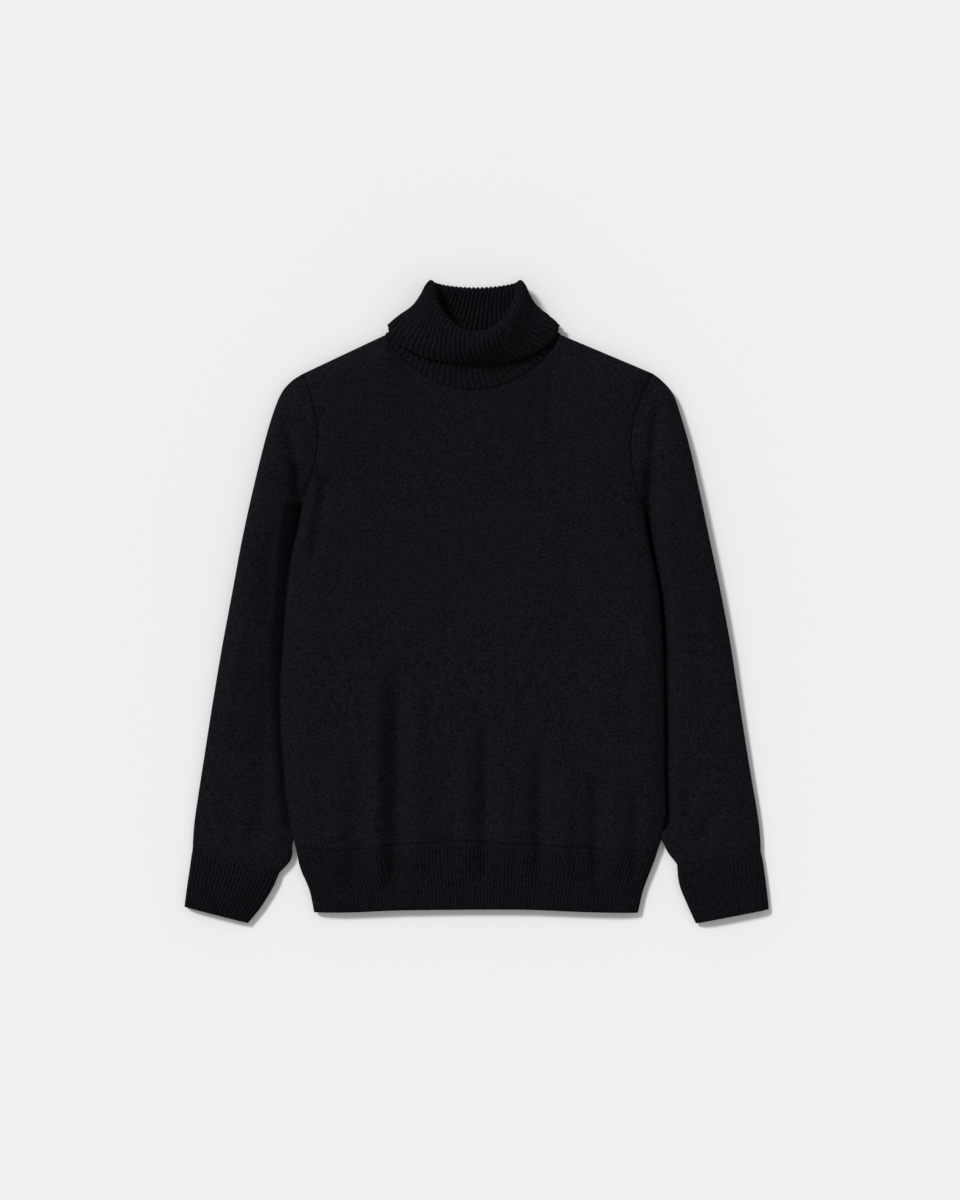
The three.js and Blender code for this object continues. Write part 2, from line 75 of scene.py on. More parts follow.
world = bpy.data.worlds.new("room")
world.use_nodes = True
world.node_tree.nodes["Background"].inputs["Color"].default_value = (1, 1, 1, 1)
world.node_tree.nodes["Background"].inputs["Strength"].default_value = 0.455
scene.world = world

window_data = bpy.data.lights.new("window", "SUN")
window_data.energy = 2.35
window_data.angle = math.radians(11)
window = bpy.data.objects.new("window", window_data)
window.rotation_euler = (math.radians(-30), math.radians(-38), 0)
scene.collection.objects.link(window)

floor_mesh = bpy.data.meshes.new("floor")
FLOOR_REACH = 8
floor_corners = [(x * FLOOR_REACH, y * FLOOR_REACH, 0) for x, y in ((-1, -1), (1, -1), (1, 1), (-1, 1))]
floor_mesh.from_pydata(floor_corners, [], [(0, 1, 2, 3)])
floor = bpy.data.objects.new("floor", floor_mesh)
floor.location.z = -0.2 * MM
scene.collection.objects.link(floor)
floor_paint = bpy.data.materials.new("floor_paint")
floor_paint.use_nodes = True
floor_shader = floor_paint.node_tree.nodes["Principled BSDF"]
floor_shader.inputs["Base Color"].default_value = (0.9, 0.9, 0.9, 1)
floor_shader.inputs["Roughness"].default_value = 1
floor_shader.inputs["Specular IOR Level"].default_value = 0
floor_mesh.materials.append(floor_paint)

# ---------------------------------------------------------------------------
# Sleeves: two shaped panels of fine wool stockinette, each seamed along the
# underarm into a tube and linked to the armhole. They lie straight down beside
# the body, flat underneath, with a few soft folds, and run in low under its sides.


def along_rows(table, fine):
    """A table of rows drawn out into many by a smooth curve through each column."""
    rows = np.array(table, dtype=float)
    slopes = np.gradient(rows, axis=0)
    at = np.linspace(0, len(rows) - 1, fine)
    first = np.minimum(at.astype(int), len(rows) - 2)
    t = (at - first)[:, None]
    start, end = rows[first], rows[first + 1]
    return ((2 * t**3 - 3 * t**2 + 1) * start + (t**3 - 2 * t**2 + t) * slopes[first]
            + (3 * t**2 - 2 * t**3) * end + (t**3 - t**2) * slopes[first + 1])


def curve_at(keys, values, at):
    """A smooth curve through values at rising keys."""
    keys, values = np.array(keys, dtype=float), np.array(values, dtype=float)
    slopes = np.gradient(values, keys)
    at = np.clip(at, keys[0], keys[-1])
    first = np.clip(np.searchsorted(keys, at, side="right") - 1, 0, len(keys) - 2)
    span = keys[first + 1] - keys[first]
    t = (at - keys[first]) / span
    return ((2 * t**3 - 3 * t**2 + 1) * values[first] + (t**3 - 2 * t**2 + t) * span * slopes[first]
            + (3 * t**2 - 2 * t**3) * values[first + 1] + (t**3 - t**2) * span * slopes[first + 1])


def fold_rise(x, y, folds):
    """Rise of soft folds: each runs from x0, y0, where it starts gently, to x1, y1, with
    its width and its height, which is below zero for a trough."""
    rise = np.zeros_like(x)
    for x0, y0, x1, y1, width, height in folds:
        dx, dy = x1 - x0, y1 - y0
        t = np.clip(((x - x0) * dx + (y - y0) * dy) / (dx * dx + dy * dy), 0, 1)
        away = np.hypot(x - x0 - t * dx, y - y0 - t * dy) / width
        start = np.clip(t / 0.4, 0, 1)
        rise += height * np.exp(-away**2) * start * start * (3 - 2 * start)
    return rise


def slow_waves(x, y, seed, wave):
    """Gentle unevenness of cloth that was laid by hand, from a few crossed waves."""
    random = np.random.default_rng(seed)
    height = np.zeros_like(x)
    count = 7
    for _ in range(count):
        angle, phase, size = random.uniform(0, math.pi), random.uniform(0, 6.3), random.uniform(0.6, 1.6)
        height += np.sin((x * math.cos(angle) + y * math.sin(angle)) * 2 * math.pi / (wave * size) + phase)
    return height / count


def surface_normals(grid, closed):
    """The direction square to the cloth at each point of its grid."""
    if closed:
        across = np.roll(grid, -1, axis=1) - np.roll(grid, 1, axis=1)
    else:
        across = np.gradient(grid, axis=1)
    normal = np.cross(across, np.gradient(grid, axis=0))
    return normal / np.maximum(np.linalg.norm(normal, axis=2, keepdims=True), 1e-9)


def cloth_piece(name, grid, wall, closed, relief=None):
    """A wall of cloth on both sides of a grid in millimetres, with its fabric coordinates
    in metres in a UV map: across the knit in U and along its rows of stitches in V."""
    normal = surface_normals(grid, closed)
    if relief is not None:
        grid = grid + normal * relief[..., None]
        normal = surface_normals(grid, closed)
    rows, columns = grid.shape[:2]
    half = normal * wall / 2
    points = np.concatenate([(grid + half).reshape(-1, 3), (grid - half).reshape(-1, 3)])
    wrap = columns if closed else columns - 1
    i, j = np.meshgrid(np.arange(rows - 1), np.arange(wrap), indexing="ij")
    next_j = (j + 1) % columns
    a, b, c, d = (i * columns + j, i * columns + next_j, (i + 1) * columns + next_j, (i + 1) * columns + j)
    other = rows * columns
    outer = np.stack([a, b, c, d], axis=-1).reshape(-1, 4)
    inner = np.stack([a, d, c, b], axis=-1).reshape(-1, 4) + other
    j = np.arange(wrap)
    next_j = (j + 1) % columns
    last = (rows - 1) * columns
    rims = [np.stack([next_j, j, j + other, next_j + other], axis=-1),
            np.stack([last + j, last + next_j, last + next_j + other, last + j + other], axis=-1)]
    if not closed:
        i = np.arange(rows - 1) * columns
        right = i + columns - 1
        rims.append(np.stack([i, i + columns, i + columns + other, i + other], axis=-1))
        rims.append(np.stack([right + columns, right, right + other, right + columns + other], axis=-1))
    faces = np.concatenate([outer, inner] + rims)
    mesh = bpy.data.meshes.new(name)
    mesh.from_pydata((points * MM).tolist(), [], faces.tolist())
    mesh.polygons.foreach_set("use_smooth", np.ones(len(faces), dtype=bool))
    step_across = np.linalg.norm(np.diff(grid, axis=1, append=grid[:, :1]), axis=2).mean(axis=0)
    step_along = np.linalg.norm(np.diff(grid, axis=0), axis=2).mean(axis=1)
    u = np.concatenate([[0], np.cumsum(step_across)[:-1]]) * MM
    v = np.concatenate([[0], np.cumsum(step_along)]) * MM
    fabric = np.stack(np.meshgrid(u, v), axis=-1).reshape(-1, 2)
    fabric = np.concatenate([fabric, fabric])
    loops = np.zeros(len(mesh.loops), dtype=np.int64)
    mesh.loops.foreach_get("vertex_index", loops)
    mesh.uv_layers.new(name="fabric").data.foreach_set("uv", fabric[loops].astype(np.float32).ravel())
    mesh.update()
    piece = bpy.data.objects.new(name, mesh)
    scene.collection.objects.link(piece)
    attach(piece, "root")
    return piece


def stitch_group():
    """Rows of V-shaped stockinette stitches, with the wool's fuzz: a height, and a colour share that mottles
    at random and darkens in the grooves between the stitch columns as painted shade.
    """
    group = bpy.data.node_groups.new("wool stitches", "ShaderNodeTree")
    for name, value in (("Wale width", 0.0018), ("Course height", 0.0013), ("Fuzz", 0.35)):
        socket = group.interface.new_socket(name, in_out="INPUT", socket_type="NodeSocketFloat")
        socket.default_value = value
    for name in ("Height", "Mottle and painted shade"):
        group.interface.new_socket(name, in_out="OUTPUT", socket_type="NodeSocketFloat")
    nodes, links = group.nodes, group.links
    inputs, outputs = nodes.new("NodeGroupInput"), nodes.new("NodeGroupOutput")

    def math_node(operation, first, second=None, third=None):
        node = nodes.new("ShaderNodeMath")
        node.operation = operation
        for socket, value in zip(node.inputs, (first, second, third)):
            if hasattr(value, "is_output"):
                links.new(value, socket)
            elif value is not None:
                socket.default_value = value
        return node.outputs[0]

    fabric = nodes.new("ShaderNodeUVMap")
    fabric.uv_map = "fabric"
    parts = nodes.new("ShaderNodeSeparateXYZ")
    links.new(fabric.outputs["UV"], parts.inputs[0])
    wale = math_node("DIVIDE", parts.outputs[0], inputs.outputs["Wale width"])
    course = math_node("DIVIDE", parts.outputs[1], inputs.outputs["Course height"])
    from_middle = math_node("ABSOLUTE", math_node("SUBTRACT", math_node("FRACT", wale), 0.5))
    legs = math_node("SINE", math_node("MULTIPLY", math_node("ADD", course, from_middle), 2 * math.pi))
    column = math_node("SINE", math_node("MULTIPLY", math_node("FRACT", wale), math.pi))
    ridge = math_node("POWER", column, 0.6)
    stitch = math_node("MULTIPLY", ridge, math_node("MULTIPLY_ADD", legs, 0.3, 0.7))
    place = nodes.new("ShaderNodeTexCoord")
    fuzz = nodes.new("ShaderNodeTexNoise")
    fuzz.inputs["Scale"].default_value = 900
    fuzz.inputs["Detail"].default_value = 3
    links.new(place.outputs["Object"], fuzz.inputs["Vector"])
    height = math_node("MULTIPLY_ADD", fuzz.outputs["Fac"], inputs.outputs["Fuzz"], stitch)
    patchy = nodes.new("ShaderNodeTexNoise")
    patchy.inputs["Scale"].default_value = 330
    patchy.inputs["Detail"].default_value = 4
    links.new(place.outputs["Object"], patchy.inputs["Vector"])
    mottle = math_node("MULTIPLY_ADD", patchy.outputs["Fac"], 2.2, -0.3)
    # Painted shade: the colour falls to 40 percent in the grooves between the stitch columns and rises to
    # full on their crests, on top of the random mottle.
    mottle_and_painted_shade = math_node("MULTIPLY", mottle, math_node("MULTIPLY_ADD", stitch, 0.6, 0.4))
    links.new(height, outputs.inputs["Height"])
    links.new(mottle_and_painted_shade, outputs.inputs["Mottle and painted shade"])
    return group


def wool(name, dark, light, wale_width, bump):
    """Black wool: matt, with a faint bloom of fibre ends."""
    material = bpy.data.materials.new(name)
    material.use_nodes = True
    nodes, links = material.node_tree.nodes, material.node_tree.links
    shader = nodes["Principled BSDF"]
    shader.inputs["Roughness"].default_value = 0.95
    shader.inputs["Specular IOR Level"].default_value = 0
    shader.inputs["Sheen Weight"].default_value = 0.012
    shader.inputs["Sheen Roughness"].default_value = 0.6
    shader.inputs["Sheen Tint"].default_value = (0.8, 0.8, 1, 1)
    stitches = nodes.new("ShaderNodeGroup")
    stitches.node_tree = STITCHES
    stitches.inputs["Wale width"].default_value = wale_width
    colour = nodes.new("ShaderNodeMix")
    colour.data_type = "RGBA"
    colour.inputs["A"].default_value = (*dark, 1)
    colour.inputs["B"].default_value = (*light, 1)
    # The mix factor carries the random mottle and the painted shade of the stitch grooves.
    links.new(stitches.outputs["Mottle and painted shade"], colour.inputs["Factor"])
    links.new(colour.outputs["Result"], shader.inputs["Base Color"])
    relief = nodes.new("ShaderNodeBump")
    relief.inputs["Strength"].default_value = bump
    relief.inputs["Distance"].default_value = 0.4 * MM
    links.new(stitches.outputs["Height"], relief.inputs["Height"])
    links.new(relief.outputs["Normal"], shader.inputs["Normal"])
    return material


STITCHES = stitch_group()
PLAIN_KNIT = wool("plain_knit", (0.0004, 0.0004, 0.0006), (0.0137, 0.0129, 0.0168), 1.8 * MM, 1)

KNIT_WALL = 1.7
# From shoulder to cuff: outer edge x, y; inner edge x, y; height over the top and of
# the edges; how far the section bows to the body; squareness of its shape
SLEEVES = {
    "left": [
        (-204, 267, -203, 123, 18.5, 8, 17, 4),
        (-217, 258, -207.6, 114, 20, 8.5, 15, 3.6),
        (-229, 243, -209.4, 104, 21.5, 9, 12, 3.2),
        (-240, 214, -211.8, 94, 22.5, 9, 8, 3),
        (-250, 178, -215, 82, 23.5, 9, 4, 2.8),
        (-262, 128, -218.5, 64, 24, 9.5, 2, 2.6),
        (-274, 73, -222, 38, 23.5, 9.5, 0, 2.6),
        (-285, 14, -225.5, -6, 22, 9, 0, 2.6),
        (-297, -50, -229.5, -60, 20, 8.5, 0, 2.6),
        (-308, -115, -231.8, -116, 18, 8, 0, 2.6),
        (-319, -185, -229, -182, 16, 7.5, 0, 2.8),
        (-329, -250, -222.5, -256, 14, 6.5, 0, 3),
        (-331.5, -276, -217, -296, 12.5, 6, 1, 3.4),
        (-332, -288, -232, -317, 11.5, 5.5, 3, 4),
    ],
    "right": [
        (205.5, 268, 194.5, 113, 18.5, 8, 20, 4),
        (217, 259, 199.5, 106, 20, 8.5, 16, 3.6),
        (230, 243, 202, 98, 21.5, 9, 12, 3.2),
        (240, 214, 204.5, 88, 22.5, 9, 8, 3),
        (250, 178, 207.5, 74, 23.5, 9, 4, 2.8),
        (261, 128, 211.5, 54, 24, 9.5, 2, 2.6),
        (272.5, 73, 216.5, 26, 23.5, 9.5, 0, 2.6),
        (285, 14, 220, -14, 22, 9, 0, 2.6),
        (297, -50, 222, -62, 20, 8.5, 0, 2.6),
        (307, -115, 222.7, -116, 18, 8, 0, 2.6),
        (318, -185, 223.6, -182, 16, 7.5, 0, 2.8),
        (329, -250, 225, -250, 14, 6.5, 0, 3),
        (332, -277, 221.5, -284, 12.5, 6, 1, 3.4),
        (332.5, -291, 236, -307, 11.5, 5.5, -3, 4),
    ],
}
# x0, y0, x1, y1, width, height
SLEEVE_FOLDS = {
    "left": [
        (-227, 222, -213, 172, 7, -5), (-213, 172, -206, 118, 8, -12),
        (-240, 100, -241, -20, 12, -5), (-240, -20, -252, -270, 13, -4.4),
        (-264, 60, -290, -140, 9, 1.8), (-300, -215, -262, -268, 9, -2.4),
        (-276, -160, -254, -190, 8, -1.6),
    ],
    "right": [
        (212, 236, 205, 172, 7, -6), (205, 172, 203, 106, 9, -13),
        (266, -190, 244, -236, 8, -2.8), (290, -236, 262, -276, 8, -2.2),
        (250, 60, 264, -120, 13, -2), (252, 190, 262, 150, 9, -1.2),
    ],
}


def tube(rows, fine_rows, around, wall):
    """Closed sections of a sleeve or cuff, drawn out smoothly between its rows, and the
    share of the top's height at each point, which is nothing underneath."""
    fine = along_rows(rows, fine_rows)
    angle = np.arange(around) * 2 * math.pi / around
    across = (1 - np.cos(angle)) / 2
    outer_x, outer_y, inner_x, inner_y, top, edge, bow, square = (fine[:, [k]] for k in range(8))
    full = np.sqrt(np.clip(1 - np.abs(np.cos(angle)) ** square, 0, 1))
    x = outer_x + (inner_x - outer_x) * across - np.sign(outer_x) * bow * 4 * across * (1 - across)
    y = outer_y + (inner_y - outer_y) * across
    over = angle <= math.pi
    z = edge + np.where(over, top - edge, wall / 2 - edge) * full
    grid = np.stack([x, y, z], axis=-1)
    return grid, np.broadcast_to(over * full, z.shape)


# y, and the x of the body's left and right edges there, from the hem to the underarm
BODY_EDGES = [
    (-364, -189, 188), (-336, -195, 194.5), (-312, -205, 203.5), (-290, -210.5, 212), (-252, -219, 221),
    (-203, -224, 220.5), (-104, -229, 219.5), (-35, -225, 217.5), (15, -221, 213), (55, -216, 205),
    (94, -207, 198), (123, -203, 194),
]


def table_curve(table, column, at):
    """A smooth curve through one column of a table whose first column is y or x."""
    return curve_at([row[0] for row in table], [row[column] for row in table], at)


def tuck_under_body(grid, side):
    """The sleeve's inner edge runs in low under the body's side, and climbs steeply beside it."""
    y = grid[..., 1]
    body = np.abs(table_curve(BODY_EDGES, 1 if side == "left" else 2, y))
    past = np.abs(grid[..., 0]) - body
    below = np.clip((123 - y) / 9, 0, 1) * np.clip((y + 285) / 20, 0, 1)
    inner = np.clip((18 - past) / 12, 0, 1) ** 2 * below
    reach_in = np.maximum(past + 4, 0) * inner
    grid[..., 0] -= np.sign(grid[..., 0]) * reach_in
    past -= reach_in
    low_width, steepness = (2, 1.1) if side == "left" else (8, 2.2)
    ceiling = 2 + steepness * np.maximum(past - low_width, 0)
    ceiling = np.where(below > 0, ceiling + (1 - below) * 30, 99)
    grid[..., 2] = np.minimum(grid[..., 2], ceiling)


SLEEVE_ROWS, SLEEVE_AROUND = 150, 100
ARMHOLE_GAP = 0.05  # between each of the two pieces and the seam that they share
sleeve_grids = {}
for side, sign, seed, around_flat in (("left", -1, 4, (0.2, 0.57)), ("right", 1, 9, (0.21, 0.57))):
    grid, top_share = tube(SLEEVES[side], SLEEVE_ROWS, SLEEVE_AROUND, KNIT_WALL)
    grid[0, :, 0] += sign * ARMHOLE_GAP
    waves = slow_waves(grid[..., 0], grid[..., 1], seed, 70)
    fade = np.clip(np.arange(SLEEVE_ROWS) / 10, 0, 1)[:, None]
    lift = fold_rise(grid[..., 0], grid[..., 1], SLEEVE_FOLDS[side]) + 0.5 * waves * fade
    grid[..., 2] = np.maximum(grid[..., 2] + lift * top_share, KNIT_WALL / 2)
    tuck_under_body(grid, side)
    sleeve_grids[side] = grid
    if side == "left":
        grid = grid[:, ::-1]
    sleeve = cloth_piece(f"sleeve_{side}_knit", grid, KNIT_WALL, True)
    sleeve.data.materials.append(PLAIN_KNIT)
    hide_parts(f"sleeve_{side}")

# ---------------------------------------------------------------------------
# Cuffs: rib knitted in one with each sleeve, drawn in narrower than it. The ribs
# are real ridges that run down to the free edge.

RIB_KNIT = wool("rib_knit", (0.0004, 0.0004, 0.0006), (0.012, 0.0112, 0.0142), 1.5 * MM, 0.8)
RIB_WALL = 1.5
CUFFS = {
    "left": [
        (-335, -311, -241, -336, 11, 5.4, 1, 4.4),
        (-338.5, -334, -254, -357, 10.5, 5.2, 0, 5),
        (-341.5, -357, -269, -375.5, 10, 5, 0, 5),
    ],
    "right": [
        (336, -314, 239, -330, 11, 5.4, -1, 4.4),
        (339, -337, 248, -353, 10.5, 5.2, 0, 5),
        (341.5, -360, 258.5, -376, 10, 5, 0, 5),
    ],
}


def ribs(share, count, depth):
    """Corrugation of a rib: rounded ridges with narrow grooves between them."""
    wave = np.cos(share * count * 2 * math.pi)
    return depth * (np.sign(wave) * np.abs(wave) ** 0.75)


def even_shares(grid, closed):
    """How far along a section each of its points lies, from 0 to 1."""
    step = np.linalg.norm(np.diff(grid, axis=1, append=grid[:, :1]), axis=2)
    if not closed:
        step[:, -1] = 0
    gone = np.cumsum(step, axis=1)
    return (gone - step) / gone[:, -1:]


def spread_evenly(grid, count):
    """A closed grid with its points the same distance apart round each section."""
    ring = np.concatenate([grid, grid[:, :1]], axis=1)
    share = np.concatenate([even_shares(grid, True), np.ones((len(grid), 1))], axis=1)
    at = np.arange(count) / count
    return np.stack([np.stack([np.interp(at, s, row[:, k]) for k in range(3)], axis=-1)
                     for s, row in zip(share, ring)])


CUFF_RIBS = 44
CUFF_ROWS, CUFF_AROUND = 30, CUFF_RIBS * 7
for side in ("left", "right"):
    rows = [SLEEVES[side][-1]] + CUFFS[side]
    grid, _ = tube(rows, CUFF_ROWS, 160, RIB_WALL + 1.2)
    grid = spread_evenly(grid, CUFF_AROUND)
    along = np.linspace(0, 1, CUFF_ROWS)[:, None]
    share = np.arange(CUFF_AROUND)[None, :] / CUFF_AROUND
    relief = ribs(share + 0 * along, CUFF_RIBS, 0.75) * np.clip(along * 6, 0.2, 1)
    if side == "left":
        grid = grid[:, ::-1]
    cuff = cloth_piece(f"cuff_{side}_rib", grid, RIB_WALL, True, relief)
    cuff.data.materials.append(RIB_KNIT)
    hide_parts(f"cuff_{side}")

# ---------------------------------------------------------------------------
# Collar: one ribbed tube linked to the neckline, folded once to the outside. The
# stand lies on the back, and the flap wraps round it down to its free edge.

# From the neckline up the stand and down the flap: middle and half width; y at the
# sides, front and back; z at the sides, front and back; how pointed the front's curve
# is; how slowly the height changes away from the sides
COLLAR = [
    (-4, 102, 313, 249, 296, 10, 19.5, 1.3, 1.6, 0.8),
    (-3.6, 90.5, 322, 262, 309, 10.5, 21, 3, 1.5, 0.8),
    (-3, 78.5, 332, 276, 323, 11.5, 23, 4.6, 1.38, 0.7),
    (-2.4, 65, 343, 290, 337, 13, 28, 5.1, 1.22, 0.7),
    (-1.6, 55, 355, 302, 352, 15.5, 35, 5.6, 1.18, 0.65),
    (-1, 48, 368, 312, 365, 18, 42, 6, 1.15, 0.6),
    (-1, 52, 375.5, 312.5, 368.5, 18.5, 46.5, 3.7, 1.1, 0.5),
    (-1.2, 57.5, 370, 306, 365, 17, 49.5, 1.3, 1.1, 0.5),
    (-1.6, 63, 359, 297, 356, 15, 48, 1.3, 1.08, 0.5),
    (-2.2, 72.5, 346, 288.5, 346, 13, 42, 1.3, 1.06, 0.5),
    (-3, 87.5, 335, 282, 335, 11, 34.5, 1.3, 1.05, 0.5),
    (-3.5, 100, 324.5, 278, 325, 9.5, 27.5, 1.3, 1.05, 0.5),
]


def collar_rings(fine_rows, around):
    """Closed rings of the collar: the front is the first half of each, from the left."""
    fine = along_rows(COLLAR, fine_rows)
    angle = np.arange(around) * 2 * math.pi / around
    front = angle <= math.pi
    spread = np.abs(np.sin(angle))
    mid, half, ys, yf, yb, zs, zf, zb, point, slow = (fine[:, [k]] for k in range(10))
    x = mid - half * np.cos(angle)
    y = ys + (np.where(front, yf, yb) - ys) * spread ** np.where(front, point, 1.4)
    z = zs + (np.where(front, zf, zb) - zs) * spread**slow
    return np.stack([x, y, z], axis=-1)


COLLAR_RIBS = 62
COLLAR_ROWS, COLLAR_AROUND = 72, COLLAR_RIBS * 8
NECK_HALF = 240  # points along the front's half of the neckline, and along the back's
collar_grid = spread_evenly(collar_rings(COLLAR_ROWS, 2 * NECK_HALF), COLLAR_AROUND)
neckline = collar_rings(len(COLLAR), 2 * NECK_HALF)[0]
along = np.linspace(0, 1, COLLAR_ROWS)[:, None]
share = np.arange(COLLAR_AROUND)[None, :] / COLLAR_AROUND + 0.004 * np.sin(along * 9)
collar = cloth_piece("collar_rib", collar_grid, RIB_WALL, True, ribs(share, COLLAR_RIBS, 0.95))
collar.data.materials.append(RIB_KNIT)
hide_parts("collar")

# ---------------------------------------------------------------------------
# Front and back: two fully fashioned panels of stockinette, joined at the sides
# and shoulders. The back lies flat, and the front lies over it and rolls down to
# the seams, with soft vertical folds above the hem.

# x, y of the hem rib's top and of its free edge
HEM_TOP = [(-212, -287), (-146, -290), (-101, -285), (-28, -280), (60, -284), (139, -289), (212, -292)]
HEM_EDGE = [(-212, -363), (-146, -363), (-101, -361), (-28, -360), (60, -360), (139, -363), (212, -364)]
# y, height of the front along its middle
FRONT_HEIGHTS = [(-364, 10.5), (-290, 14), (-200, 17), (0, 20), (150, 21), (314, 20)]
# x0, y0, x1, y1, width, height
FRONT_FOLDS = [
    (-92, -34, -94, -320, 11, -9.5), (-94, -300, -92, -346, 11, -1.5), (-116, -60, -117, -320, 9, 4),
    (-70, -60, -71, -300, 11, 3), (-140, -150, -140, -310, 11, -2.4), (-164, -190, -164, -310, 11, 2),
    (-38, -180, -36, -310, 12, -2), (-14, -150, -14, -310, 8, 2.4), (10, -120, 9, -316, 8.5, -6),
    (34, -150, 34, -310, 9, 2.6), (74, -150, 73, -316, 8.5, -6.4), (50, -170, 52, -316, 8, 1.6),
    (104, -170, 104, -310, 9, 2.4), (140, -180, 139, -316, 8.5, -5.6), (162, -200, 162, -310, 8, 2),
    (187, -200, 185, -316, 7, -4.6), (-206, 40, -188, 156, 6, 2.6), (-196, 26, -176, 140, 8, -5),
    (190, 40, 156, 134, 12, -2.6), (200, 24, 178, 100, 7, -2.6), (-150, -360, -172, -320, 12, 2),
]
SIDE_HEIGHT = 6.5
FRONT_ROLL, BACK_ROLL = 28, 12


def front_level(x, y):
    """Height of the front, whose deepest troughs level out above the back."""
    level = (table_curve(FRONT_HEIGHTS, 1, y) + fold_rise(x, y, FRONT_FOLDS)
             + 0.6 * slow_waves(x, y, 2, 110))
    return np.where(level < 8, 5 + 3 * np.exp(np.minimum(level - 8, 0) / 3), level)


def roll_turn(away, roll):
    """A quarter of a round roll: nothing at the edge, and all of its height past its width."""
    return np.sqrt(1 - (1 - np.minimum(away / roll, 1)) ** 2)


def edge_shares(roll, width, middle):
    """Columns across a panel, close together where its edges roll."""
    rolled = roll * (1 - np.cos(np.linspace(0, math.pi / 2, 13))) / width
    return np.concatenate([rolled, np.linspace(rolled[-1], 1 - rolled[-1], middle)[1:-1], 1 - rolled[::-1]])


def edge_patch(bottom, top, left, right, across, up):
    """A grid that meets four edges, blended between them."""
    a, b = across[None, :, None], up[:, None, None]
    corners = ((1 - a) * (1 - b) * bottom[0] + a * (1 - b) * bottom[-1]
               + (1 - a) * b * top[0] + a * b * top[-1])
    return (1 - b) * bottom[None] + b * top[None] + (1 - a) * left[:, None] + a * right[:, None] - corners


PANEL_WIDTH, NECK_SHARE = 416, 0.242
ARMHOLE_ROWS, SIDE_ROWS = 50, 120


def body_panel(is_front):
    """One panel, from the hem rib's top up its side seams, round its armholes and along
    its shoulders and neckline, with its edges rolled to the height of the seams."""
    roll = FRONT_ROLL if is_front else BACK_ROLL
    across = edge_shares(roll, PANEL_WIDTH, 130)
    edges = {}
    for side, sign, column in (("left", 1, 1), ("right", -1, 2)):
        ring = tube(SLEEVES[side], len(SLEEVES[side]), 2 * ARMHOLE_ROWS, KNIT_WALL)[0][0]
        index = np.arange(ARMHOLE_ROWS, -1, -1)
        armhole = ring[index if is_front else (-index) % (2 * ARMHOLE_ROWS)].copy()
        armhole[:, 0] += sign * ARMHOLE_GAP
        hem_y = table_curve(HEM_TOP, 1, HEM_TOP[0][0] * sign)
        y = np.linspace(hem_y, armhole[0, 1], SIDE_ROWS, endpoint=False)
        seam = np.stack([table_curve(BODY_EDGES, column, y), y, np.full_like(y, SIDE_HEIGHT)], axis=-1)
        edges[side] = np.concatenate([seam, armhole])
    left, right = edges["left"], edges["right"]
    x = left[0, 0] + (right[0, 0] - left[0, 0]) * across
    bottom = np.stack([x, table_curve(HEM_TOP, 1, x), 0 * x], axis=-1)
    back_half = np.concatenate([neckline[:1], neckline[:NECK_HALF - 1:-1]])
    half = neckline[:NECK_HALF + 1] if is_front else back_half
    turn = np.arccos(np.clip((0.5 - across) / (0.5 - NECK_SHARE), -1, 1)) / math.pi
    place = np.arange(NECK_HALF + 1)
    around = np.stack([np.interp(turn * NECK_HALF, place, half[:, k]) for k in range(3)], axis=-1)
    shoulder_l = left[-1] + (half[0] - left[-1]) * np.clip(across / NECK_SHARE, 0, 1)[:, None]
    shoulder_r = right[-1] + (half[-1] - right[-1]) * np.clip((1 - across) / NECK_SHARE, 0, 1)[:, None]
    in_neck = (across > NECK_SHARE) & (across < 1 - NECK_SHARE)
    right_part = np.where(in_neck[:, None], around, shoulder_r)
    top = np.where((across <= NECK_SHARE)[:, None], shoulder_l, right_part)
    top = top - np.array([0, 0.1, 0])
    length = left[-1, 1] - left[0, 1]
    up = ((left[:, 1] - left[0, 1]) / length + (right[:, 1] - right[0, 1]) / (right[-1, 1] - right[0, 1])) / 2
    grid = edge_patch(bottom, top, left, right, across, up)
    flat_level = np.full(grid.shape[:2], KNIT_WALL / 2)
    level = front_level(grid[..., 0], grid[..., 1]) if is_front else flat_level
    power = np.where(np.arange(len(up)) > SIDE_ROWS, 2.0, 1.0)[:, None]
    width = right[0, 0] - left[0, 0]
    top_power = np.where(in_neck, 2.0, 1.0)[None, :]
    drops = [(level - left[:, 2:3]) * (1 - roll_turn(across[None] * width, roll) ** power),
             (level - right[:, 2:3]) * (1 - roll_turn((1 - across[None]) * width, roll) ** power),
             (level - top[None, :, 2]) * (1 - roll_turn((1 - up[:, None]) * length, roll) ** top_power)]
    drop = sum(np.abs(d) ** 3 for d in drops) ** (1 / 3)
    grid[..., 2] = level - np.sign(level - left[:, 2:3]) * drop
    grid[:, 0], grid[:, -1] = left, right
    grid[-1, 1:-1] = top[1:-1]
    return grid


panel_grids = {"front": body_panel(True), "back": body_panel(False)}
for name, area in (("front", 0.243), ("back", 0.248)):
    panel = cloth_piece(f"{name}_knit", panel_grids[name], KNIT_WALL, False)
    panel.data.materials.append(PLAIN_KNIT)
    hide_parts(name)

# ---------------------------------------------------------------------------
# Hem: rib knitted in one with front and back, drawn in below them, open at the
# bottom. Its ridges run down to the free edge.

